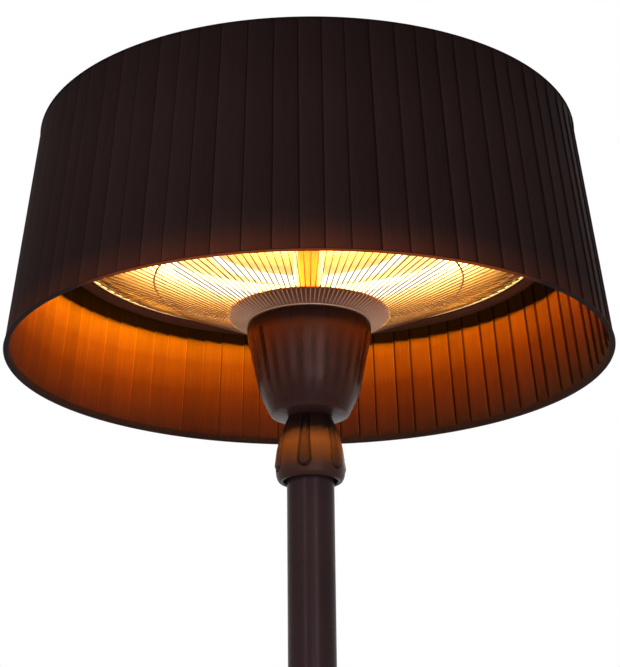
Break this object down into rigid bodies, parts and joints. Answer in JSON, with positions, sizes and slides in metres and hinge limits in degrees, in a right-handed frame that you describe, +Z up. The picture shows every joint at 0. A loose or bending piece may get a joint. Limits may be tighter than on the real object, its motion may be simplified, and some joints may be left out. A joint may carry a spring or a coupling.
{
  "type": "electric patio heater tower",
  "caption": "Free-standing patio heater: round weighted base, telescopic pole with a twist-lock collar, and ring lamps behind a wire guard under a pleated drum shade.",
  "frame": {"origin": "on the floor under the middle of the round base", "axes": "+Z up along the pole, -Y towards the front, which the picture shows, +X to the right"},
  "size_m": [0.5999, 0.6, 2.034],
  "materials": {
    "rubber": "matte",
    "base_steel": "satin",
    "ballast": "rough cast",
    "pole_coat": "satin powder coat",
    "pan_coat": "satin heat-proof coat",
    "zinc_steel": "zinc plated",
    "gloss_brown": "gloss moulding",
    "black_plastic": "fine grain",
    "rocker_black": "gloss",
    "cast_alloy": "as cast",
    "white_ceramic": "unglazed",
    "plate_grey": "satin",
    "guard_steel": "bright wire",
    "reflector_alloy": "polished",
    "lamp_quartz": "clear quartz",
    "stem_chrome": "bright",
    "shade_cloth": "pleated cloth",
    "binding_cloth": "woven tape"
  },
  "bodies": {
    "stand": {"base_cover": "pole_coat", "base_plate": "base_steel", "base_ballast": "ballast", "rubber_feet": "rubber", "pole_socket": "base_steel", "socket_bolts": "zinc_steel", "foot_cover": "gloss_brown", "gland_body": "black_plastic", "gland_nut": "black_plastic", "lower_pole": "pole_coat", "upper_pole": "pole_coat", "pole_joiner": "zinc_steel", "joiner_screws": "zinc_steel", "pole_bush": "black_plastic", "collet": "black_plastic"},
    "collar": {"lock_collar": "gloss_brown"},
    "head": {"inner_mast": "pole_coat", "mast_glide": "black_plastic", "cup_housing": "gloss_brown", "cup_screws": "zinc_steel", "hub_bracket": "cast_alloy", "mast_screws": "zinc_steel", "terminal_block": "white_ceramic", "tip_over_switch": "black_plastic", "switch_bezel": "black_plastic", "hub_plate": "plate_grey", "wire_guard": "guard_steel", "reflector": "reflector_alloy", "outer_lamp": "lamp_quartz", "inner_lamp": "lamp_quartz", "lamp_holders": "white_ceramic", "lamp_clips": "zinc_steel", "housing_pan": "pan_coat", "pan_spacer": "zinc_steel", "thermal_cutout": "zinc_steel", "centre_stem": "stem_chrome", "stem_nuts": "zinc_steel", "finial_nut": "zinc_steel", "shade_cover": "shade_cloth", "lower_ring": "pan_coat", "upper_ring": "pan_coat", "lower_binding": "binding_cloth", "upper_binding": "binding_cloth", "shade_spider": "pan_coat", "arm_screws": "zinc_steel"},
    "low_heat_rocker": {"rocker_low": "rocker_black"},
    "high_heat_rocker": {"rocker_high": "rocker_black"}
  },
  "joints": [
    {"name": "collar_turn", "type": "hinge", "parent": "stand", "child": "collar", "pos_m": [0, 0, 1.7], "axis": [0, 0, 1], "range_deg": [0, 90]},
    {"name": "mast_slide", "type": "slide", "parent": "stand", "child": "head", "axis": [0, 0, 1], "range_m": [0, 0.3]},
    {"name": "low_heat_switch", "type": "hinge", "parent": "head", "child": "low_heat_rocker", "pos_m": [0.04818, 0.03078, 1.80212], "axis": [-0.6293, 0.7771, 0], "range_deg": [-16, 0]},
    {"name": "high_heat_switch", "type": "hinge", "parent": "head", "child": "high_heat_rocker", "pos_m": [0.04012, 0.04072, 1.80212], "axis": [-0.6293, 0.7771, 0], "range_deg": [-16, 0]}
  ]
}
